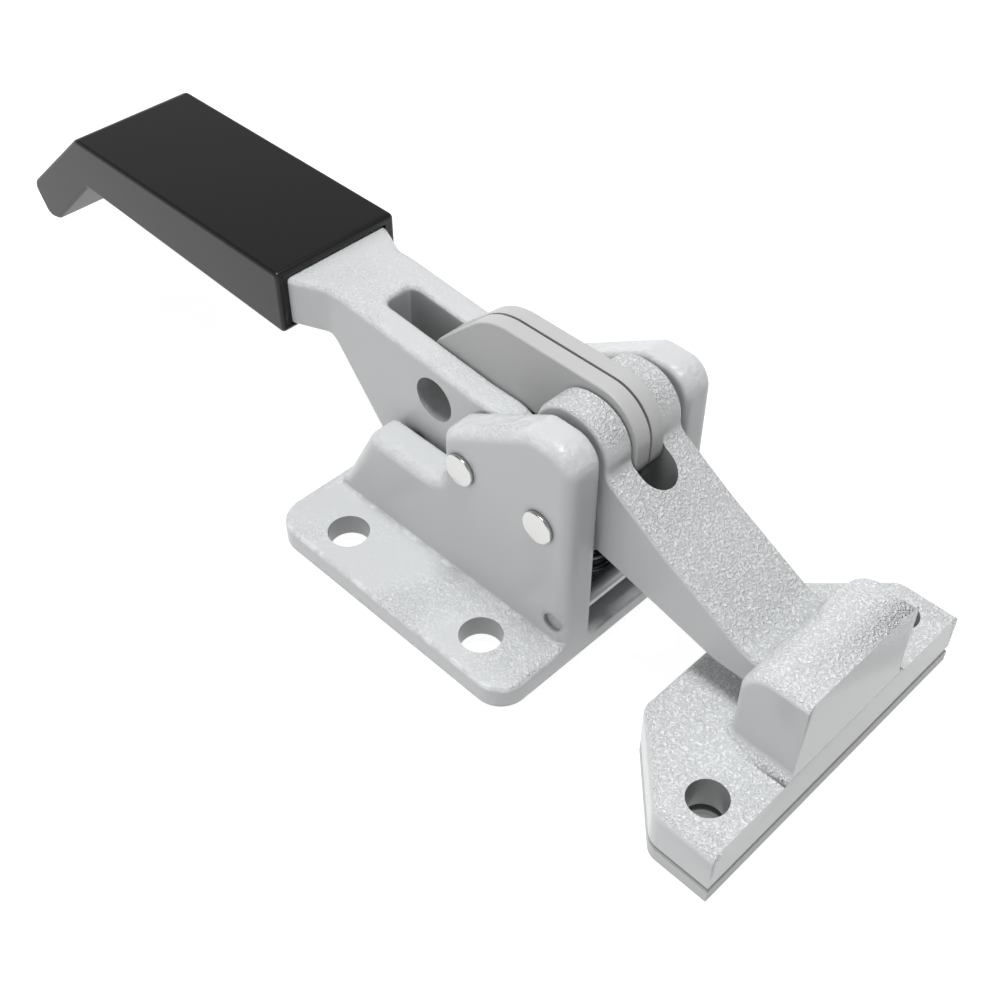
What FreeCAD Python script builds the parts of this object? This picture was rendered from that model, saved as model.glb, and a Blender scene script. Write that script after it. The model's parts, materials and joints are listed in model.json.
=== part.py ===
import FreeCAD, Part
import math
import os

# Draw latch: base casting, hand lever, twin links, draw arm and strike. Millimetres, +Z up.
# Origin: centre of the base's four bolt holes on its mounting face. +X points to the strike.
# The latch is built closed, as in the photo.

# Driving dimensions of the base
bolt_spacing_x = 40.0
bolt_spacing_y = 56.5
bolt_hole_d = 9.0
base_front_x = 34.2
base_rear_x = -35.2
flange_half = 36.9
flange_t = 5.2
floor_t = 3.4
cheek_gap = 23.8
cheek_t = 7.7
cheek_top_z = 55.2
lug_top_z = 26.3
cheek_fillet = 2.6

# Driving dimensions of the pivots, closed pose
lever_pivot_x = 6.2
lever_pivot_z = 35.3
guide_pin_x = 26.8
guide_pin_z = 34.7
knuckle_x = 25.4
knuckle_z = 46.9
link_pin_x = -16.3
link_pin_z = 20.8
pin_d = 6.0
link_pin_d = 6.4
head_d = 7.1
head_t = 1.0
rod_d = 4.2
rod_x = 30.8
rod_z = 10.6
spring_wire_d = 1.5
spring_turns = 6.5

# Driving dimensions of the lever and its grip
lever_w = 20.4
lever_neck_w = 27.3
lever_top_z = 46.7
lever_front_top_z = 43.4
lever_slot_w = 8.2
slot_rear_x = -32.6
side_hole_d = 10.0
grip_mouth_x = -51.8
grip_w = 32.4
grip_top_z = 48.7
grip_corner_x = -127.2
grip_wall = 2.4
lip_tip_x = -154.2
lip_tip_z = 22.6

# Driving dimensions of the links, the arm and the strike
link_t = 3.5
link_top_z = 57.9
knuckle_r = 9.2
arm_w = 20.8
arm_slot_w = 8.4
strike_front_x = 85.7
strike_depth = 29.7
strike_half = 38.0
packing_t = 3.1
strike_t = 11.2
strike_hole_d = 8.0
strike_hole_half = 29.5
block_half = 16.4
block_depth = 14.2
block_h = 20.7

# Fits and working clearances
running = 0.05
seat = 0.02
side_play = 0.15
slot_play = 0.5
arm_travel = 4.6
nose_play = 0.4

# Derived values
cheek_in = cheek_gap / 2.0
cheek_out = cheek_in + cheek_t
pin_r = pin_d / 2.0
link_pin_r = link_pin_d / 2.0
head_r = head_d / 2.0
rod_r = rod_d / 2.0
lever_half = lever_w / 2.0
lever_slot_half = lever_slot_w / 2.0
arm_half = arm_w / 2.0
arm_slot_half = arm_slot_w / 2.0
block_rear_x = strike_front_x - block_depth
strike_rear_x = strike_front_x - strike_depth
block_top_z = strike_t + block_h
os.makedirs("parts", exist_ok=True)


def vec(x, y, z):
    return FreeCAD.Vector(x, y, z)


def corner_arc(prev, here, after, r):
    """Tangent points and mid-point of a rounded corner, all in the sketch plane."""
    a = prev.sub(here)
    b = after.sub(here)
    half = a.getAngle(b) / 2.0
    a.normalize()
    b.normalize()
    reach = r / math.tan(half)
    axis = a.add(b)
    axis.normalize()
    middle = here.add(axis.multiply(r / math.sin(half) - r))
    return here.add(a.multiply(reach)), middle, here.add(b.multiply(reach))


def outline(points, lift):
    """Closed wire through (u, v, r) corners; lift places (u, v) in space."""
    places = [lift(p[0], p[1]) for p in points]
    count = len(points)
    edges = []
    stops = []
    for i in range(count):
        r = points[i][2]
        if r > 0.0:
            first, middle, last = corner_arc(places[i - 1], places[i], places[(i + 1) % count], r)
            stops.append((first, last))
            edges.append(Part.Arc(first, middle, last).toShape())
        else:
            stops.append((places[i], places[i]))
    for i in range(count):
        start = stops[i][1]
        end = stops[(i + 1) % count][0]
        if start.distanceToPoint(end) > 1e-6:
            edges.append(Part.LineSegment(start, end).toShape())
    return Part.Wire(Part.__sortEdges__(edges))


def side_prism(points, y0, y1):
    """Solid from an X-Z outline between two Y values."""
    wire = outline(points, lambda u, v: vec(u, y0, v))
    return Part.Face(wire).extrude(vec(0, y1 - y0, 0))


def plan_prism(points, z0, z1):
    """Solid from an X-Y outline between two Z values."""
    wire = outline(points, lambda u, v: vec(u, v, z0))
    return Part.Face(wire).extrude(vec(0, 0, z1 - z0))


def rod_y(r, x, z, y0, y1):
    return Part.makeCylinder(r, y1 - y0, vec(x, y0, z), vec(0, 1, 0))


def rod_up(r, x, y, z0, z1):
    return Part.makeCylinder(r, z1 - z0, vec(x, y, z0), vec(0, 0, 1))


def block(x0, x1, y0, y1, z0, z1):
    return Part.makeBox(x1 - x0, y1 - y0, z1 - z0, vec(x0, y0, z0))


def near(value, target):
    return abs(value - target) < 0.02


def edges_where(shape, test):
    """Edges whose two ends and middle all pass the test."""
    picked = []
    for edge in shape.Edges:
        first = edge.valueAt(edge.FirstParameter)
        last = edge.valueAt(edge.LastParameter)
        middle = edge.valueAt((edge.FirstParameter + edge.LastParameter) / 2.0)
        if test(first) and test(last) and test(middle):
            picked.append(edge)
    return picked


def soften(shape, r, test):
    return shape.makeFillet(r, edges_where(shape, test))


def mirror_y(shape):
    return shape.mirror(vec(0, 0, 0), vec(0, 1, 0))


def save(name, shape):
    solid = shape.removeSplitter()
    if len(solid.Solids) == 1:
        solid = solid.Solids[0]
    solid.exportStep("parts/" + name + ".step")


# Base: flanged floor with two cheeks, cast as one
cheek_profile = [
    (base_rear_x + 1.0, 0.0, 0.0),
    (base_rear_x + 2.2, flange_t, 0.0),
    (base_rear_x + 13.6, lug_top_z, 2.5),
    (lever_pivot_x - 5.6, lug_top_z, 6.0),
    (lever_pivot_x - 5.6, lever_pivot_z + 6.2, 3.5),
    (base_front_x - 11.2, cheek_top_z, 4.0),
    (base_front_x, cheek_top_z, 6.0),
    (base_front_x, 0.0, 0.0),
]
cheek = side_prism(cheek_profile, -cheek_out, -cheek_in)
cheek = soften(cheek, cheek_fillet, lambda p: near(p.y, -cheek_out) and p.z > flange_t - 1.0)
cheek = soften(cheek, 1.0, lambda p: near(p.y, -cheek_in) and p.z > flange_t + 1.0)
flange_profile = [
    (base_rear_x, -flange_half, 7.0),
    (base_front_x, -flange_half, 6.0),
    (base_front_x, flange_half, 6.0),
    (base_rear_x, flange_half, 7.0),
]
flange = plan_prism(flange_profile, 0.0, flange_t)
flange = soften(flange, 1.1, lambda p: near(p.z, flange_t))
well = block(base_rear_x - 1.0, base_front_x + 1.0, -cheek_in, cheek_in, floor_t, flange_t + 3.0)
well = soften(well, 1.7, lambda p: near(p.z, floor_t) and near(abs(p.y), cheek_in))
root_r = 2.4
root_front_x = base_front_x - cheek_fillet
root_rear_x = base_rear_x + 3.4
root_y = -cheek_out - root_r
root_top_z = flange_t + root_r
root_section = Part.Face(Part.Wire([
    Part.makeLine(vec(root_front_x, root_y, flange_t - 0.6), vec(root_front_x, -cheek_out + 0.4, flange_t - 0.6)),
    Part.makeLine(vec(root_front_x, -cheek_out + 0.4, flange_t - 0.6), vec(root_front_x, -cheek_out + 0.4, root_top_z)),
    Part.makeLine(vec(root_front_x, -cheek_out + 0.4, root_top_z), vec(root_front_x, -cheek_out, root_top_z)),
    Part.Arc(
        vec(root_front_x, -cheek_out, root_top_z),
        vec(root_front_x, -cheek_out - root_r * 0.292893, flange_t + root_r * 0.292893),
        vec(root_front_x, root_y, flange_t),
    ).toShape(),
    Part.makeLine(vec(root_front_x, root_y, flange_t), vec(root_front_x, root_y, flange_t - 0.6)),
]))
root_bar = root_section.extrude(vec(root_rear_x - root_front_x, 0, 0))
root_turn = root_section.revolve(vec(root_front_x, -cheek_out + cheek_fillet, 0), vec(0, 0, 1), 80)
root_turn = root_turn.common(block(root_front_x, base_front_x - 0.4, -40.0, 0.0, 0.0, 20.0))
root = root_bar.fuse(root_turn)
base = flange.fuse([cheek, mirror_y(cheek), root, mirror_y(root)]).cut(well)
base = base.removeSplitter()
bolt_places = []
for sx in (-1.0, 1.0):
    for sy in (-1.0, 1.0):
        bolt_places.append((sx * bolt_spacing_x / 2.0, sy * bolt_spacing_y / 2.0))
cuts = [rod_up(bolt_hole_d / 2.0, x, y, -1.0, flange_t + 4.0) for x, y in bolt_places]
for r, x, z in (
    (pin_r + seat, lever_pivot_x, lever_pivot_z),
    (pin_r + seat, guide_pin_x, guide_pin_z),
    (rod_r + seat, rod_x, rod_z),
):
    cuts.append(rod_y(r, x, z, -cheek_out - 4.0, cheek_out + 4.0))
base = base.cut(Part.makeCompound(cuts))
save("base_casting", base)


# Pivot pins through the cheeks, each with a low round head on both outer faces
def headed_pin(x, z):
    shank = rod_y(pin_r, x, z, -cheek_out, cheek_out)
    head = rod_y(head_r, x, z, -cheek_out - head_t, -cheek_out)
    head = soften(head, 0.3, lambda p: near(p.y, -cheek_out - head_t))
    return shank.fuse([head, mirror_y(head)])


save("lever_pivot_pin", headed_pin(lever_pivot_x, lever_pivot_z))
save("guide_pin", headed_pin(guide_pin_x, guide_pin_z))

# Stop rod across the front of the base, its ends just inside the cheeks' outer faces
rod_end = cheek_out - 0.6
stop_rod = rod_y(rod_r, rod_x, rod_z, -rod_end, rod_end)
save("stop_rod", stop_rod)

# Coil spring that stands on the floor behind the rod and lifts the arm's fork
wire_r = spring_wire_d / 2.0
coil_r = 5.3
coil_low_z = floor_t + wire_r + 0.05
coil_h = guide_pin_z - 9.3 - wire_r - coil_low_z
coil_x = rod_x - rod_r - 0.3 - coil_r - wire_r
helix = Part.makeHelix(coil_h / spring_turns, coil_h, coil_r)
section = Part.Wire(Part.makeCircle(wire_r, vec(coil_r, 0, 0), vec(0, 1, 0)))
coil = Part.Wire(helix).makePipeShell([section], True, True)
coil.translate(vec(coil_x, 0, coil_low_z))
save("coil_spring", coil)


# Washers that centre the lever and the arm between the cheeks
def washer(x, z, r, y0, y1):
    ring = rod_y(r, x, z, y0, y1)
    return ring.cut(rod_y(pin_r + running, x, z, y0 - 1.0, y1 + 1.0))


lever_washer = washer(lever_pivot_x, lever_pivot_z, 7.4, -cheek_in, -lever_half - side_play)
save("lever_washer_near", lever_washer)
save("lever_washer_far", mirror_y(lever_washer))
arm_washer = washer(guide_pin_x, guide_pin_z, 6.0, -cheek_in, -arm_half - side_play)
save("arm_washer_near", arm_washer)
save("arm_washer_far", mirror_y(arm_washer))

# Sleeves on the two pins, between the prongs of the lever and of the arm
lever_sleeve = washer(lever_pivot_x, lever_pivot_z, pin_r + 1.1, -lever_slot_half + side_play, lever_slot_half - side_play)
save("lever_sleeve", lever_sleeve)
arm_sleeve = washer(guide_pin_x, guide_pin_z, pin_r + 1.1, -arm_slot_half + side_play, arm_slot_half - side_play)
save("arm_sleeve", arm_sleeve)

# Lever casting: tongue in the grip, flared neck, two prongs down to the pivots
boss_r = lever_front_top_z - lever_pivot_z
heel_r = 10.4
neck_low_z = lever_top_z - 11.9
rise_x = lever_pivot_x - link_pin_x
lever_side = [
    (grip_mouth_x - 2.0, neck_low_z, 0.0),
    (grip_mouth_x - 2.0, lever_top_z - 0.2, 0.0),
    (grip_mouth_x + 13.0, lever_top_z, 6.0),
    (lever_pivot_x - 7.0, lever_front_top_z + 0.15, 6.0),
    (lever_pivot_x + boss_r, lever_front_top_z, boss_r - 0.1),
    (lever_pivot_x + boss_r, lever_pivot_z - boss_r, boss_r - 0.1),
    (lever_pivot_x - 3.0, lever_pivot_z - boss_r - 0.6, 3.0),
    (link_pin_x + 5.0, link_pin_z - heel_r, 7.0),
    (link_pin_x - 7.0, link_pin_z - heel_r, 7.0),
    (grip_mouth_x + 9.0, neck_low_z, 4.0),
]
lever = side_prism(lever_side, -lever_neck_w / 2.0, lever_neck_w / 2.0)
neck_half = lever_neck_w / 2.0
lever_plan = [
    (grip_mouth_x - 3.0, -neck_half, 0.0),
    (grip_mouth_x + 0.4, -neck_half, 1.5),
    (grip_mouth_x + 8.4, -lever_half, 5.0),
    (lever_pivot_x + boss_r + 1.0, -lever_half, 0.0),
    (lever_pivot_x + boss_r + 1.0, lever_half, 0.0),
    (grip_mouth_x + 8.4, lever_half, 5.0),
    (grip_mouth_x + 0.4, neck_half, 1.5),
    (grip_mouth_x - 3.0, neck_half, 0.0),
]
lever = lever.common(plan_prism(lever_plan, -5.0, 90.0))
lever = soften(lever, 1.2, lambda p: near(abs(p.y), lever_half) and p.x > grip_mouth_x + 12.0 and p.z > lever_pivot_z)
tongue_half = grip_w / 2.0 - grip_wall - 0.6
tongue = block(grip_corner_x + 8.0, grip_mouth_x - 1.0, -tongue_half, tongue_half, neck_low_z + 5.3, lever_top_z - 1.2)
lever = lever.fuse(tongue)
slot_r = 2.3
slot_plan = [
    (slot_rear_x, -lever_slot_half, slot_r),
    (lever_pivot_x + boss_r + 2.0, -lever_slot_half, 0.0),
    (lever_pivot_x + boss_r + 2.0, lever_slot_half, 0.0),
    (slot_rear_x, lever_slot_half, slot_r),
]
lever = lever.cut(plan_prism(slot_plan, -5.0, 90.0))


def slot_rim(p):
    return abs(p.y) < lever_slot_half + 0.02 and p.z > lever_front_top_z and slot_rear_x - 0.1 < p.x < lever_pivot_x


lever = soften(lever, 1.0, slot_rim)
side_hole_x = lever_pivot_x - 17.6
side_hole_z = lever_pivot_z + 0.8
lever_cuts = [
    rod_y(pin_r + running, lever_pivot_x, lever_pivot_z, -20.0, 20.0),
    rod_y(link_pin_r + seat, link_pin_x, link_pin_z, -20.0, 20.0),
    rod_y(side_hole_d / 2.0, side_hole_x, side_hole_z, -20.0, 20.0),
]
lever = lever.cut(Part.makeCompound(lever_cuts))
save("lever_casting", lever)

# Moulded grip: a sleeve closed at the back, with a turned-down finger lip
grip_low_front = neck_low_z - 1.4
grip_low_rear = grip_low_front + 3.4
grip_side = [
    (grip_mouth_x, grip_low_front, 1.2),
    (grip_mouth_x, grip_top_z, 1.2),
    (grip_corner_x, grip_top_z, 3.0),
    (lip_tip_x - 0.6, lip_tip_z + 2.6, 3.0),
    (lip_tip_x + 4.0, lip_tip_z - 5.4, 3.0),
    (lip_tip_x + 8.6, lip_tip_z - 4.2, 1.5),
    (grip_corner_x + 1.0, grip_low_rear - 0.6, 2.0),
]
grip_half = grip_w / 2.0
grip = side_prism(grip_side, -grip_half, grip_half)
grip = soften(grip, 0.9, lambda p: near(abs(p.y), grip_half))
pocket = block(grip_corner_x + 8.0, grip_mouth_x + 1.0, -tongue_half, tongue_half, neck_low_z + 5.3, lever_top_z - 1.2)
mouth = block(grip_mouth_x - 2.0, grip_mouth_x + 1.0, -neck_half, neck_half, neck_low_z, lever_top_z + 0.2)
grip = grip.cut(pocket.fuse(mouth))
save("grip", grip)

# Twin link plates, side by side on the mid-plane
link_side = [
    (link_pin_x - 6.6, link_pin_z - 6.6, 6.5),
    (link_pin_x - 6.6, link_pin_z + 4.0, 8.0),
    (knuckle_x - 42.6, knuckle_z - 2.4, 7.0),
    (knuckle_x - 28.0, link_top_z, 14.0),
    (knuckle_x + 10.2, link_top_z, 9.6),
    (knuckle_x + 10.2, knuckle_z - 7.0, 5.0),
    (knuckle_x - 7.0, knuckle_z - 7.0, 4.0),
    (knuckle_x - 10.0, lever_pivot_z + 6.6, 4.0),
    (lever_pivot_x - 6.2, lever_pivot_z + 6.6, 6.0),
    (link_pin_x + 8.0, link_pin_z + 1.0, 6.0),
    (link_pin_x + 5.4, link_pin_z - 6.6, 5.0),
]
link_gap = 0.6
link_plate = side_prism(link_side, -link_gap / 2.0 - link_t, -link_gap / 2.0)
link_bores = [
    rod_y(link_pin_r + running, link_pin_x, link_pin_z, -20.0, 20.0),
    rod_y(pin_r + running, knuckle_x, knuckle_z, -20.0, 20.0),
]
link_plate = link_plate.cut(Part.makeCompound(link_bores))
link_plate = soften(link_plate, 0.4, lambda p: near(p.y, -link_gap / 2.0 - link_t) and p.z > knuckle_z)
save("link_plate_near", link_plate)
save("link_plate_far", mirror_y(link_plate))
spacer = rod_y(link_pin_r + 2.4, link_pin_x, link_pin_z, -link_gap / 2.0, link_gap / 2.0)
spacer = spacer.cut(rod_y(link_pin_r + running, link_pin_x, link_pin_z, -5.0, 5.0))
save("link_shim_rear", spacer)
spacer = rod_y(pin_r + 2.4, knuckle_x, knuckle_z, -link_gap / 2.0, link_gap / 2.0)
spacer = spacer.cut(rod_y(pin_r + running, knuckle_x, knuckle_z, -5.0, 5.0))
save("link_shim_front", spacer)

# Pins of the links: one in the lever's prongs, one in the arm's knuckles
save("link_pin", rod_y(link_pin_r, link_pin_x, link_pin_z, -lever_half + 0.4, lever_half - 0.4))
save("knuckle_pin", rod_y(pin_r, knuckle_x, knuckle_z, -arm_half + 0.4, arm_half - 0.4))

# Draw arm: two knuckles, a tapering beam and a nose that hooks inside the strike's block
hollow_top_z = block_top_z - 2.8
lip_low_z = block_top_z - 5.6
lip_t = 2.8
rear_x = knuckle_x - knuckle_r
nose_top_z = lip_low_z - 1.2
nose_rise_z = hollow_top_z - 0.6
nose_back_x = block_rear_x + lip_t + nose_play
nose_front_x = nose_back_x + 3.4
nose_low_z = nose_top_z - 6.6
arm_side = [
    (rear_x, guide_pin_z - 7.4, 3.0),
    (rear_x, knuckle_z + knuckle_r, 8.6),
    (knuckle_x + knuckle_r, knuckle_z + knuckle_r, 8.6),
    (knuckle_x + knuckle_r, knuckle_z - 1.4, 3.0),
    (knuckle_x + 22.6, knuckle_z - 9.9, 14.0),
    (block_rear_x - 3.9, nose_top_z + 1.3, 7.0),
    (nose_back_x, nose_top_z, 0.3),
    (nose_back_x, nose_rise_z, 1.4),
    (nose_front_x, nose_rise_z - 0.4, 1.5),
    (nose_front_x + 0.6, nose_low_z, 2.4),
    (block_rear_x - 9.5, nose_low_z, 12.0),
    (guide_pin_x + 6.4, guide_pin_z - 9.2, 8.0),
]
arm = side_prism(arm_side, -arm_half, arm_half)
arm = soften(arm, 1.2, lambda p: near(abs(p.y), arm_half))
fork_end_x = knuckle_x + 16.0
fork_r = arm_slot_half - 0.01
fork_plan = [
    (rear_x - 2.0, -arm_slot_half, 0.0),
    (fork_end_x, -arm_slot_half, fork_r),
    (fork_end_x, arm_slot_half, fork_r),
    (rear_x - 2.0, arm_slot_half, 0.0),
]
arm = arm.cut(plan_prism(fork_plan, -5.0, 90.0))
guide_r = pin_r + slot_play
guide_slot = rod_y(guide_r, guide_pin_x, guide_pin_z, -20.0, 20.0)
guide_slot = guide_slot.fuse(rod_y(guide_r, guide_pin_x - arm_travel, guide_pin_z, -20.0, 20.0))
slot_box = block(guide_pin_x - arm_travel, guide_pin_x, -20.0, 20.0, guide_pin_z - guide_r, guide_pin_z + guide_r)
guide_slot = guide_slot.fuse(slot_box)
arm = arm.cut(guide_slot)
arm = arm.cut(rod_y(pin_r + seat, knuckle_x, knuckle_z, -20.0, 20.0))
save("draw_arm", arm)

# Strike: drilled plate with cut corners and a hollow block that the nose hooks into
rear_half = 21.5
cut_x = strike_front_x - 13.4


def strike_plan(proud):
    """Plan of the strike, standing proud of the casting all round by the given amount."""
    return [
        (strike_rear_x - proud, -rear_half, 3.4),
        (cut_x, -strike_half - proud, 4.4),
        (strike_front_x + proud, -strike_half - proud, 0.0),
        (strike_front_x + proud, strike_half + proud, 0.0),
        (cut_x, strike_half + proud, 4.4),
        (strike_rear_x - proud, rear_half, 3.4),
    ]


plate = plan_prism(strike_plan(0.0), 0.0, strike_t)
plate = soften(plate, 2.6, lambda p: near(p.z, strike_t) and (p.x < strike_front_x - 0.01 or near(abs(p.y), strike_half)))
block_side = [
    (strike_front_x, strike_t - 4.0, 0.0),
    (strike_front_x, block_top_z, 0.0),
    (block_rear_x, block_top_z, 7.0),
    (block_rear_x, strike_t - 4.0, 0.0),
]
hood = side_prism(block_side, -block_half, block_half)
hood = soften(hood, 1.7, lambda p: near(abs(p.y), block_half) and p.z > strike_t - 3.9 and p.x < strike_front_x + 0.01)
strike = plate.fuse(hood).removeSplitter()
strike = soften(strike, 2.6, lambda p: near(p.z, strike_t) and abs(p.y) < block_half + 0.02 and p.x > block_rear_x - 0.02)
hollow_half = arm_half + 1.0
front_wall_x = strike_front_x - 2.0
lip_slope = 0.55
pocket_side = [
    (block_rear_x - 4.0, strike_t + 0.2, 0.0),
    (front_wall_x, strike_t + 0.2, 0.0),
    (front_wall_x, hollow_top_z, 1.5),
    (block_rear_x + lip_t, hollow_top_z, 1.0),
    (block_rear_x + lip_t, lip_low_z, 0.4),
    (block_rear_x - 4.0, lip_low_z + lip_slope * (lip_t + 4.0), 0.0),
]
strike = strike.cut(side_prism(pocket_side, -hollow_half, hollow_half))
strike_hole_x = strike_front_x - 8.2
drills = []
for sy in (-1.0, 1.0):
    drills.append(rod_up(strike_hole_d / 2.0, strike_hole_x, sy * strike_hole_half, -packing_t - 1.0, block_top_z))
drills = Part.makeCompound(drills)
strike = strike.cut(drills)


def under_rim(p):
    return near(p.z, 0.0) and (p.x < strike_hole_x - 4.1 or near(p.x, strike_front_x) or abs(p.y) > strike_half - 0.02)


strike = strike.makeChamfer(0.35, edges_where(strike, under_rim))
save("strike_casting", strike)

# Packing plate under the strike, drilled to match
packing = plan_prism(strike_plan(0.4), -packing_t, 0.0)
packing = packing.makeChamfer(0.35, edges_where(packing, lambda p: near(p.z, 0.0)))
packing = packing.cut(drills)
save("strike_packing_plate", packing)
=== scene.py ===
"""Looks of the draw latch: cast grey parts, a black grip, bright pins and a soft studio."""
import json
import math
from collections import namedtuple

import bmesh
import bpy
from mathutils import Euler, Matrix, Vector
from mathutils.bvhtree import BVHTree

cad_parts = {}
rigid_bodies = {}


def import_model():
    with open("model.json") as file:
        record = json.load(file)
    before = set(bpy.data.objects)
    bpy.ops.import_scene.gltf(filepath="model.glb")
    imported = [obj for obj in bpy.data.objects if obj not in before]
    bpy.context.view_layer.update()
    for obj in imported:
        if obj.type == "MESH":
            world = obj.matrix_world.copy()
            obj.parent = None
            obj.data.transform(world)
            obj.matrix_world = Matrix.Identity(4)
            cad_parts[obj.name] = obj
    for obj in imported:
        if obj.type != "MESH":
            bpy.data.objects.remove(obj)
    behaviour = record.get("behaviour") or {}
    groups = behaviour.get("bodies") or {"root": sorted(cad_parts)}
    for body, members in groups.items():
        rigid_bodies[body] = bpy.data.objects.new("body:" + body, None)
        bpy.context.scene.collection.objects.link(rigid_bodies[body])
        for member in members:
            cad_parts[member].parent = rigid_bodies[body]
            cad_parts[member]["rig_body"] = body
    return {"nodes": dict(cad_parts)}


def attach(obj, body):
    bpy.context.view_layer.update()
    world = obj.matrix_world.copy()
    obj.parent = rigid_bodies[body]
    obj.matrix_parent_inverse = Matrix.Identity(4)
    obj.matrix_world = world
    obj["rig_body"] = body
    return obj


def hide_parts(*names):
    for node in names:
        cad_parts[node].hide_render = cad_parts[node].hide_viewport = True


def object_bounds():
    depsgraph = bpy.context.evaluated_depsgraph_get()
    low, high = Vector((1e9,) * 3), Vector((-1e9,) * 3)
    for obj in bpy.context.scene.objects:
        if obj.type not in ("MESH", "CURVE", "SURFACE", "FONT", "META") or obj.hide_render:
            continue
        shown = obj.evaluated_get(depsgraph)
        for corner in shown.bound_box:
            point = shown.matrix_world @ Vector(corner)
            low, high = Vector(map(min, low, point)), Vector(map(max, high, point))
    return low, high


MM = 0.001
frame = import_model()
cad_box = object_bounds()
scene = bpy.context.scene

# Sizes of the castings that the looks follow, in millimetres
CHEEK_OUT = 19.6
CHEEK_ROUND = 2.6
FLANGE_TOP = 5.2
ROOT_ROUND = 2.4
ROOT_FRONT_X = 31.6
STRIKE_HOLE = Vector((77.5, 29.5))
STRIKE_HOLE_RADIUS = 4.0
JOINT_CHAMFER = 0.35

# Changes of shape that only the skins have, in millimetres
CASTING_INSET = 2.2
PACKING_INSET = 0.4
JOINT_LIFT = 0.9
RING_LEVELS = (1.3, 1.5, 3.1, 3.3)
RING_DEPTH = 2.0
ROOT_SHARE = 0.45

# How the vertices and faces of a shape are told apart: lengths in millimetres, and cosines
LEVEL_SLACK = 0.01
RING_SLACK = 0.1
HOLE_MARGIN = 0.5
SIDE_FACE = 0.3
SAME_SIDE = 0.98
MERGE_WITHIN = 0.002
RAY_START = 0.01
BORE_REACH = 14.0
CREASE = math.radians(24.0)

# Grain of the surfaces, in millimetres
GRIT_SIZE = 0.5
PATCH_SIZE = 20.0
EDGE_ROUND = 2.0
LUMP_SIZE = 2.2
LUMP_DEPTH = 0.45
# Heights over which the painted edge highlight fades
EDGE_GLINT_FADE = (8.0, 12.0)
PLATE_RIPPLE = 1.2
MOULD_GRAIN = 0.5
RIPPLE_DEPTH = 0.02

# Spans of slope, noise and turn over which a look comes or goes, and the levels it goes between
UPWARD_SLOPE = (0.15, 0.75)
UPWARD_LEVELS = (0.06, 1.0)
SIDE_SLOPE = (0.1, 0.4)
TOP_SLOPE = (0.995, 0.93)
EDGE_TURN = (0.995, 0.93)
EDGE_LEVELS = (0.0, 0.7)
PATCH_SPAN = (0.4, 0.6)
GRIT_GLINT_SPAN = (0.46, 0.68)
LUMP_GLINT_SPAN = (0.4, 0.62)
EDGE_GLINT_LEVELS = (0.4, 0.12)

OUTER_FACE = "outer_face"
# Painted shade for faces inside bores and slots
BORE_SHADE_TONE = "#A4A6A7"
# Colour of the painted glints on grit peaks and edge lumps
PAINTED_GLINT_TONE = "#F2F4F5"

# The studio: levels of the floor and of the sky for each kind of ray
FLOOR_HALF = 3.0
FLOOR_GAP = 0.02
FLOOR_TONE = "#9A9A9A"
FLOOR_FILL = 0.38
FLOOR_GLOW = 0.88
SKY_FILL = 0.5
SKY_TILT = -0.45
SKY_BAND = (0.15, 0.6)
SKY_MIRRORED = (1.0, 0.1)
SKY_SEEN = 1.0

# Inputs and output of a Mix node for each kind of value
MIX_SOCKETS = {"FLOAT": (2, 3, 0), "VECTOR": (4, 5, 1), "RGBA": (6, 7, 2)}

# A bore or line of a part: the axes that count, a point on it, and the gaps where it ends and is cleared
Feature = namedtuple("Feature", "axes point near far")
BASE_BOLTS = Feature((1.0, 1.0, 0.0), (20.0, 28.25, 0.0), 5.0, 6.6)
CHEEK_ROOT = Feature((0.0, 1.0, 1.0), (0.0, CHEEK_OUT, FLANGE_TOP), 1.4, 3.2)
BASE_INSIDE = Feature((0.0, 1.0, 0.0), (0.0, 0.0, 0.0), 15.0, 17.5)
LEVER_BORE = Feature((1.0, 0.0, 1.0), (11.4, 0.0, 36.1), 5.4, 7.0)


def hex_colour(code):
    """Linear RGBA of an sRGB hex colour."""
    channels = [int(code[i:i + 2], 16) / 255.0 for i in (1, 3, 5)]
    linear = [c / 12.92 if c <= 0.04045 else ((c + 0.055) / 1.055) ** 2.4 for c in channels]
    return linear + [1.0]


def node(tree, kind, settings=None, **links):
    """Adds a node, sets its values and links its inputs; a link is an output socket or a plain value."""
    made = tree.nodes.new(kind)
    for name, value in (settings or {}).items():
        setattr(made, name, value)
    for name, value in links.items():
        socket = made.inputs[int(name[1:])] if name[0] == "_" else made.inputs[name.replace("_", " ")]
        if isinstance(value, bpy.types.NodeSocket):
            tree.links.new(value, socket)
        else:
            socket.default_value = value
    return made


def ramp(tree, value, span, levels=(0.0, 1.0), kind="LINEAR"):
    """Goes from one level to the other while the value goes through the span."""
    return node(tree, "ShaderNodeMapRange", {"interpolation_type": kind}, Value=value,
                _1=span[0], _2=span[1], _3=levels[0], _4=levels[1]).outputs[0]


def mix(tree, kind, share, first, second):
    """Goes from the first value to the second as the share goes from 0 to 1."""
    a, b, out = MIX_SOCKETS[kind]
    values = {"_0": share, f"_{a}": first, f"_{b}": second}
    return node(tree, "ShaderNodeMix", {"data_type": kind}, **values).outputs[out]


def combined(tree, operation, first, second):
    return node(tree, "ShaderNodeMath", {"operation": operation}, _0=first, _1=second).outputs[0]


def product(tree, factors):
    """The factors multiplied with each other."""
    total = factors[0]
    for factor in factors[1:]:
        total = combined(tree, "MULTIPLY", total, factor)
    return total


def noise(tree, place, size_mm, **settings):
    """Noise on Object coordinates with features of that size."""
    return node(tree, "ShaderNodeTexNoise", Vector=place, Scale=1.0 / (size_mm * MM), **settings).outputs["Fac"]


def new_material(name):
    made = bpy.data.materials.new(name)
    made.use_nodes = True
    made.node_tree.nodes.clear()
    return made, made.node_tree


def close_material(tree, shader):
    node(tree, "ShaderNodeOutputMaterial", Surface=shader.outputs[0])


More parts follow.
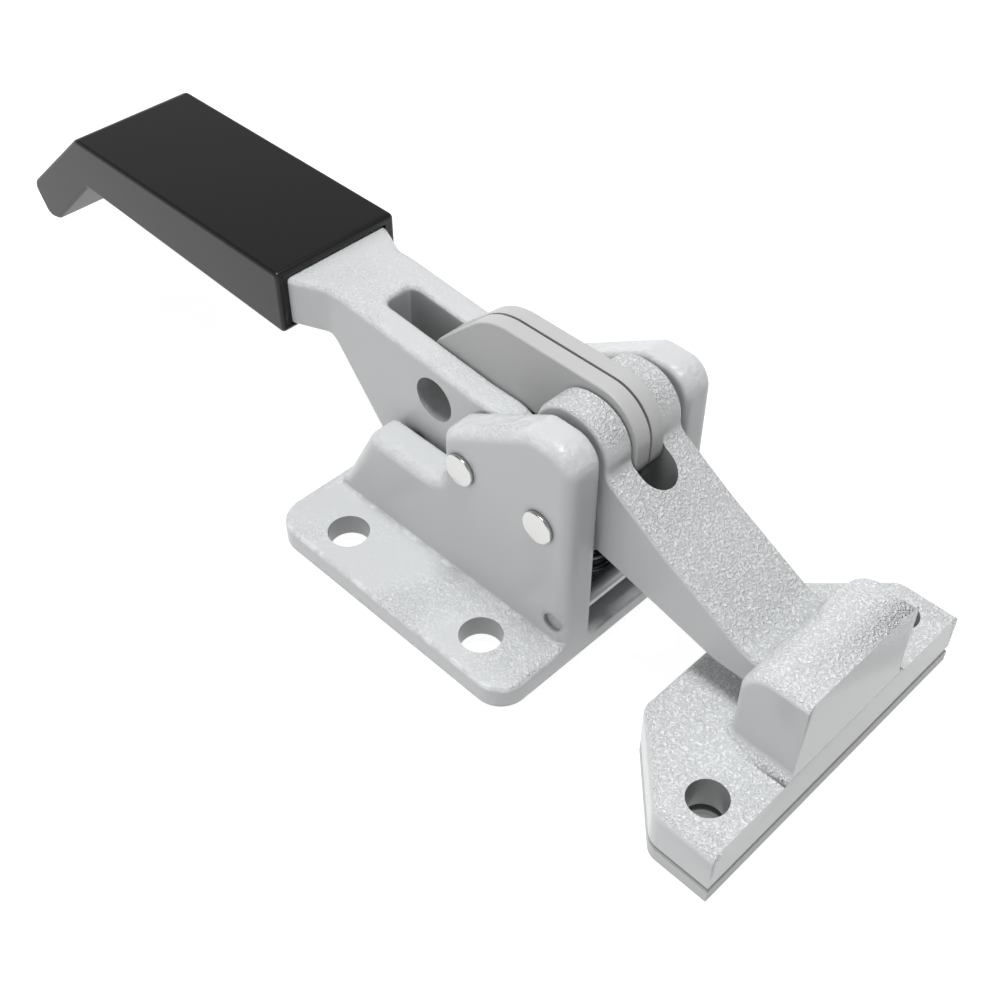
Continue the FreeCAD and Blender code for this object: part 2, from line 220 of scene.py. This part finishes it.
def coated(tree, colour, roughness, bump, **more):
    """Ends a material as paint or plastic with its bump."""
    close_material(tree, node(tree, "ShaderNodeBsdfPrincipled", Base_Color=colour, Roughness=roughness,
                              Metallic=0.0, IOR=1.5, Normal=bump.outputs[0], **more))


def rippled(tree, size_mm, strength):
    """Bump of a faint, even ripple."""
    place = node(tree, "ShaderNodeTexCoord").outputs["Object"]
    return node(tree, "ShaderNodeBump", Strength=strength, Distance=RIPPLE_DEPTH * MM,
                Height=noise(tree, place, size_mm, Detail=1.0))


def clear_of(tree, place, feature):
    """0 near a bore or a line of the part, 1 away from it, on both sides of the mid-planes."""
    mirrored = node(tree, "ShaderNodeVectorMath", {"operation": "ABSOLUTE"}, _0=place)
    flat = node(tree, "ShaderNodeVectorMath", {"operation": "MULTIPLY"}, _0=mirrored.outputs[0], _1=feature.axes)
    gap = node(tree, "ShaderNodeVectorMath", {"operation": "DISTANCE"}, _0=flat.outputs[0],
               _1=[c * MM for c in feature.point])
    return ramp(tree, gap.outputs["Value"], (feature.near * MM, feature.far * MM), kind="SMOOTHSTEP")


def lumpy_edges(tree, place, slope, crisp):
    """Edges of a sand casting: a wide soft rounding with small lumps, left out at the crisp features; the second
    result is a painted highlight on the lumps of the rounded edges, strongest low down.
    """
    rounded = node(tree, "ShaderNodeBevel", {"samples": 6}, Radius=EDGE_ROUND * MM)
    plain = node(tree, "ShaderNodeNewGeometry")
    soft = product(tree, [clear_of(tree, place, feature) for feature in crisp])
    normal = mix(tree, "VECTOR", soft, plain.outputs["Normal"], rounded.outputs[0])
    turned = node(tree, "ShaderNodeVectorMath", {"operation": "DOT_PRODUCT"}, _0=rounded.outputs[0],
                  _1=plain.outputs["True Normal"])
    edge = ramp(tree, turned.outputs["Value"], EDGE_TURN, EDGE_LEVELS)
    on_round = product(tree, [ramp(tree, slope, SIDE_SLOPE), ramp(tree, slope, TOP_SLOPE)])
    either = combined(tree, "MAXIMUM", on_round, product(tree, [edge, soft]))
    lumps = noise(tree, place, LUMP_SIZE, Detail=2.0)
    bump = node(tree, "ShaderNodeBump", Strength=either, Distance=LUMP_DEPTH * MM, Height=lumps, Normal=normal)
    # Painted highlight on the lumps, stronger on the low edges and cheek roots than higher up
    height = node(tree, "ShaderNodeSeparateXYZ", Vector=place).outputs["Z"]
    glint_by_height = ramp(tree, height, [level * MM for level in EDGE_GLINT_FADE], EDGE_GLINT_LEVELS)
    edge_glints = ramp(tree, lumps, LUMP_GLINT_SPAN, kind="SMOOTHSTEP")
    return bump.outputs[0], product(tree, [either, edge_glints, glint_by_height])


def cast_coat(name, colour, depth_mm, calm, glint_paint, roughness, smooth=(), crisp=()):
    """Sand-cast metal under a thin grey coat: fine grit on upward faces with painted glints on its peaks, smooth
    sides, painted shade in bores and slots, and with crisp features soft edges with painted highlights.
    """
    made, tree = new_material(name)
    coords = node(tree, "ShaderNodeTexCoord")
    place = coords.outputs["Object"]
    slope = node(tree, "ShaderNodeSeparateXYZ", Vector=coords.outputs["Normal"]).outputs["Z"]
    upward = ramp(tree, slope, UPWARD_SLOPE, UPWARD_LEVELS, "SMOOTHSTEP")
    grit = noise(tree, place, GRIT_SIZE, Detail=2.0, Roughness=0.5, Distortion=0.6)
    patchy = ramp(tree, noise(tree, place, PATCH_SIZE, Detail=1.0), PATCH_SPAN, (calm, 1.0))
    outer = node(tree, "ShaderNodeAttribute", {"attribute_name": OUTER_FACE}).outputs["Fac"]
    amount = product(tree, [upward, patchy, outer] + [clear_of(tree, place, feature) for feature in smooth])
    # Painted glints: grit peaks on open upward faces are lightened toward the glint colour
    bright = product(tree, [amount, ramp(tree, grit, GRIT_GLINT_SPAN, (0.0, glint_paint), "SMOOTHSTEP")])
    bump = node(tree, "ShaderNodeBump", Strength=amount, Distance=depth_mm * MM, Height=grit)
    if crisp:
        edges, lumps = lumpy_edges(tree, place, slope, crisp)
        tree.links.new(edges, bump.inputs["Normal"])
        # Painted highlights on the lumps of the soft edges
        bright = combined(tree, "MAXIMUM", bright, product(tree, [lumps, outer]))
    # The painted glints and edge highlights lighten the coat toward the glint colour
    coat = mix(tree, "RGBA", bright, hex_colour(colour), hex_colour(PAINTED_GLINT_TONE))
    # Painted shade: faces inside bores and slots take the darker bore tone
    coated(tree, mix(tree, "RGBA", outer, hex_colour(BORE_SHADE_TONE), coat), roughness, bump)
    return made


def smooth_coat(name, colour, roughness):
    """Punched plate under the same coat, almost smooth."""
    made, tree = new_material(name)
    coated(tree, hex_colour(colour), roughness, rippled(tree, PLATE_RIPPLE, 0.6))
    return made


def bare_metal(name, colour, roughness):
    """Bright or drawn steel that mirrors the studio softly."""
    made, tree = new_material(name)
    close_material(tree, node(tree, "ShaderNodeBsdfPrincipled", Base_Color=hex_colour(colour), Metallic=1.0,
                              Roughness=roughness))
    return made


def moulded_black(name, colour, roughness):
    """Soft moulded vinyl: a faint mould grain and a broad dull sheen."""
    made, tree = new_material(name)
    coated(tree, hex_colour(colour), roughness, rippled(tree, MOULD_GRAIN, 0.25), Specular_IOR_Level=0.4)
    return made


# Flanges with patches of fine grit with painted glints, smooth walls and soft edges with lumps and painted
# highlights
base_grey = cast_coat("sand-cast base, fine grit, grey coat", "#C4C6C7", depth_mm=0.6, calm=0.15, glint_paint=0.4,
                      roughness=0.3, smooth=(BASE_INSIDE,), crisp=(BASE_BOLTS, CHEEK_ROOT))
# The same coat, calmer, with fainter painted glints, painted edge highlights and a crisp bore
lever_grey = cast_coat("sand-cast lever, faint grit, grey coat", "#C4C6C7", depth_mm=0.4, calm=0.2, glint_paint=0.25,
                       roughness=0.3, crisp=(LEVER_BORE,))
# Embossed grit all over the upward faces, with painted glints, in a grey a shade darker than the base's as
# painted shade from the cheeks around it
arm_grey = cast_coat("sand-cast arm, sharp grit, grey coat", "#BDBFC0", depth_mm=0.7, calm=0.85, glint_paint=0.6,
                     roughness=0.25)
# The same grit, paler and with brighter painted glints on the grains
strike_grey = cast_coat("sand-cast strike, sharp grit, grey coat", "#CACCCD", depth_mm=0.75, calm=0.85, glint_paint=0.8,
                        roughness=0.22)
# Flat and even, a shade darker than the castings
link_grey = smooth_coat("punched steel plate, grey coat", "#B3B4B3", 0.42)
plate_grey = smooth_coat("flat steel plate, grey coat", "#C2C4C3", 0.45)
# Near white heads that catch the lamp
bright_pin = bare_metal("bright plated steel", "#CDCDCC", 0.22)
# Duller than the pins
washer_steel = bare_metal("plain washer steel", "#B9BABC", 0.35)
# Dark turns with thin bright lines; the wire's grey is darkened past its own colour as painted shade of the
# enclosed opening
spring_wire = bare_metal("drawn spring wire", "#77787B", 0.25)
# Deep black top, dark grey sides
black_grip = moulded_black("black moulded vinyl", "#121214", 0.38)

finishes = {
    "base_casting": base_grey,
    "lever_casting": lever_grey,
    "draw_arm": arm_grey,
    "strike_casting": strike_grey,
    "strike_packing_plate": plate_grey,
    "link_plate_near": link_grey,
    "link_plate_far": link_grey,
    "grip": black_grip,
    "lever_pivot_pin": bright_pin,
    "guide_pin": bright_pin,
    "stop_rod": washer_steel,
    "link_pin": bright_pin,
    "knuckle_pin": bright_pin,
    "coil_spring": spring_wire,
    "lever_washer_near": washer_steel,
    "lever_washer_far": washer_steel,
    "arm_washer_near": washer_steel,
    "arm_washer_far": washer_steel,
    "lever_sleeve": washer_steel,
    "arm_sleeve": washer_steel,
    "link_shim_rear": washer_steel,
    "link_shim_front": washer_steel,
}


def edited(mesh, change):
    """Runs a change on the mesh's vertices and faces."""
    work = bmesh.new()
    work.from_mesh(mesh)
    change(work)
    work.to_mesh(mesh)
    work.free()


def merge_doubles(work):
    bmesh.ops.remove_doubles(work, verts=work.verts, dist=MERGE_WITHIN * MM)


def from_strike_hole(vertex):
    """Where the vertex lies from the axis of the bolt hole on its side, in millimetres."""
    x, y = (vertex.co / MM).xy
    return Vector((x, abs(y))) - STRIKE_HOLE


def side_normals(vertex):
    """Level directions of the side faces that meet at the vertex, each once."""
    sides = []
    for face in vertex.link_faces:
        flat = Vector((face.normal.x, face.normal.y, 0.0))
        if flat.length > SIDE_FACE:
            flat.normalize()
            if all(flat.dot(other) < SAME_SIDE for other in sides):
                sides.append(flat)
    return sides


def inset_outline(work, low, high, depth):
    """Moves the outline between two levels inward, square to its side faces; the bolt holes stay."""
    shifts = []
    for vertex in work.verts:
        at_hole = from_strike_hole(vertex).length < STRIKE_HOLE_RADIUS + HOLE_MARGIN
        sides = side_normals(vertex)
        if low < vertex.co.z / MM < high and not at_hole and sides:
            total = sum(sides, Vector())
            shifts.append((vertex, total * (-depth * MM * len(sides) / total.length_squared)))
    for vertex, shift in shifts:
        vertex.co += shift


def open_joint(work):
    """The casting's lower edge falls away, so the joint under it reads as a dark line."""
    inset_outline(work, -LEVEL_SLACK, LEVEL_SLACK, CASTING_INSET)
    for vertex in work.verts:
        if abs(vertex.co.z / MM - JOINT_CHAMFER) < LEVEL_SLACK:
            vertex.co.z += JOINT_LIFT * MM


def flush_packing(work):
    """The packing plate's outline draws in a little, to end flush with the casting."""
    inset_outline(work, -math.inf, LEVEL_SLACK, PACKING_INSET)


def ring_bores(work):
    """A dark ring low in each of the strike's bores, where the casting ends on its packing."""
    for level in RING_LEVELS:
        bmesh.ops.bisect_plane(work, geom=work.verts[:] + work.edges[:] + work.faces[:], dist=LEVEL_SLACK * MM,
                               plane_co=(0.0, 0.0, level * MM), plane_no=(0.0, 0.0, 1.0))
    for vertex in work.verts:
        away = from_strike_hole(vertex)
        inside = RING_LEVELS[0] + RING_SLACK < vertex.co.z / MM < RING_LEVELS[3] - RING_SLACK
        if inside and away.length < STRIKE_HOLE_RADIUS + RING_SLACK:
            shift = away.normalized() * RING_DEPTH * MM
            vertex.co += Vector((shift.x, shift.y * math.copysign(1.0, vertex.co.y), 0.0))


def tighten_roots(work):
    """The roots of the cheeks are tight, as in the photograph."""
    shrink = ROOT_SHARE - 1.0
    for vertex in work.verts:
        x, y, z = vertex.co / MM
        away = Vector((max(x - ROOT_FRONT_X, 0.0), abs(y) - CHEEK_OUT + CHEEK_ROUND))
        out = away.length - CHEEK_ROUND
        up = z - FLANGE_TOP
        in_root = all(-LEVEL_SLACK < reach < ROOT_ROUND + LEVEL_SLACK for reach in (out, up))
        if away.y > 0.0 and in_root:
            shift = away.normalized() * shrink * out * MM
            vertex.co += Vector((shift.x, shift.y * math.copysign(1.0, y), shrink * up * MM))


shaping = {
    "base_casting": (tighten_roots,),
    "strike_casting": (open_joint, ring_bores),
    "strike_packing_plate": (flush_packing,),
}


def mark_outer_faces(mesh):
    """1 on open faces, 0 inside bores and slots, where the next wall is close in front."""
    walls = BVHTree.FromPolygons([v.co for v in mesh.vertices], [p.vertices for p in mesh.polygons])
    flag = mesh.attributes.new(OUTER_FACE, "FLOAT", "FACE")
    for face in mesh.polygons:
        start = face.center + face.normal * RAY_START * MM
        met = walls.ray_cast(start, face.normal, BORE_REACH * MM)[0]
        flag.data[face.index].value = 1.0 if met is None else 0.0


def dress(name, material):
    """A merged, softly shaded copy of a CAD node with its finish."""
    source = frame["nodes"][name]
    mesh = source.data.copy()
    mesh.name = name + "_skin"
    for change in (merge_doubles, *shaping.get(name, ())):
        edited(mesh, change)
    mark_outer_faces(mesh)
    mesh.polygons.foreach_set("use_smooth", [True] * len(mesh.polygons))
    mesh.set_sharp_from_angle(angle=CREASE)
    mesh.materials.clear()
    mesh.materials.append(material)
    skin = bpy.data.objects.new(name + "_skin", mesh)
    scene.collection.objects.link(skin)
    flatten = skin.modifiers.new("even shading", "WEIGHTED_NORMAL")
    flatten.keep_sharp = True
    flatten.weight = 100
    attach(skin, source["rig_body"])
    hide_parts(name)


for piece, finish in finishes.items():
    dress(piece, finish)


def studio_floor():
    """Matt floor that keeps the shadow, looks and mirrors near white, and lights the sides from below."""
    mesh = bpy.data.meshes.new("floor")
    low = cad_box[0][2] - FLOOR_GAP * MM
    corners = [(-1, -1), (1, -1), (1, 1), (-1, 1)]
    mesh.from_pydata([(x * FLOOR_HALF, y * FLOOR_HALF, low) for x, y in corners], [], [(0, 1, 2, 3)])
    floor = bpy.data.objects.new("floor", mesh)
    scene.collection.objects.link(floor)
    made, tree = new_material("white studio floor")
    matt = node(tree, "ShaderNodeBsdfDiffuse", Color=hex_colour(FLOOR_TONE))
    rays = node(tree, "ShaderNodeLightPath").outputs
    seen = combined(tree, "MAXIMUM", rays["Is Camera Ray"], rays["Is Glossy Ray"])
    fill = node(tree, "ShaderNodeEmission", Strength=FLOOR_FILL)
    glow = node(tree, "ShaderNodeEmission", Strength=FLOOR_GLOW)
    lift = node(tree, "ShaderNodeMixShader", _0=seen, _1=fill.outputs[0], _2=glow.outputs[0])
    close_material(tree, node(tree, "ShaderNodeAddShader", _0=matt.outputs[0], _1=lift.outputs[0]))
    mesh.materials.append(made)


def studio_air():
    """White to the camera; darker overhead in mirrors; a soft fill that is weaker from the strike's side."""
    world = bpy.data.worlds.new("studio")
    scene.world = world
    world.use_nodes = True
    sky = world.node_tree
    sky.nodes.clear()
    rays = node(sky, "ShaderNodeLightPath").outputs
    aim = node(sky, "ShaderNodeSeparateXYZ", Vector=node(sky, "ShaderNodeTexCoord").outputs["Generated"]).outputs
    mirrored = ramp(sky, aim["Z"], SKY_BAND, SKY_MIRRORED)
    fill = node(sky, "ShaderNodeMath", {"operation": "MULTIPLY_ADD"}, _0=aim["X"], _1=SKY_TILT, _2=SKY_FILL)
    unseen = mix(sky, "FLOAT", rays["Is Glossy Ray"], fill.outputs[0], mirrored)
    level = mix(sky, "FLOAT", rays["Is Camera Ray"], unseen, SKY_SEEN)
    air = node(sky, "ShaderNodeBackground", Color=(1.0, 1.0, 1.0, 1.0), Strength=level)
    node(sky, "ShaderNodeOutputWorld", Surface=air.outputs[0])


def lamp(name, place, aim, size, power):
    """Round area lamp that looks at a point."""
    light = bpy.data.lights.new(name, "AREA")
    light.shape = "DISK"
    light.size = size
    light.energy = power
    made = bpy.data.objects.new(name, light)
    scene.collection.objects.link(made)
    made.location = place
    made.rotation_euler = (Vector(aim) - Vector(place)).to_track_quat("-Z", "Y").to_euler()


studio_floor()
studio_air()
lamp("top light", (0.05, -0.04, 0.75), (0.0, 0.0, 0.0), 0.22, 4.35)
lamp("left light", (0.1, -0.85, 0.5), (-0.02, 0.0, 0.02), 0.6, 0.8)

# Camera at the photograph's angle
camera = bpy.data.cameras.new("camera")
camera.lens = 50.0
camera.sensor_width = 36.0
camera.clip_start = 0.01
eye = bpy.data.objects.new("camera", camera)
scene.collection.objects.link(eye)
eye.location = Vector((146.56, -149.49, 218.01)) * MM
eye.rotation_euler = Euler((math.radians(45.0), 0.0, math.radians(45.0)))
scene.camera = eye
scene.view_settings.view_transform = "Standard"
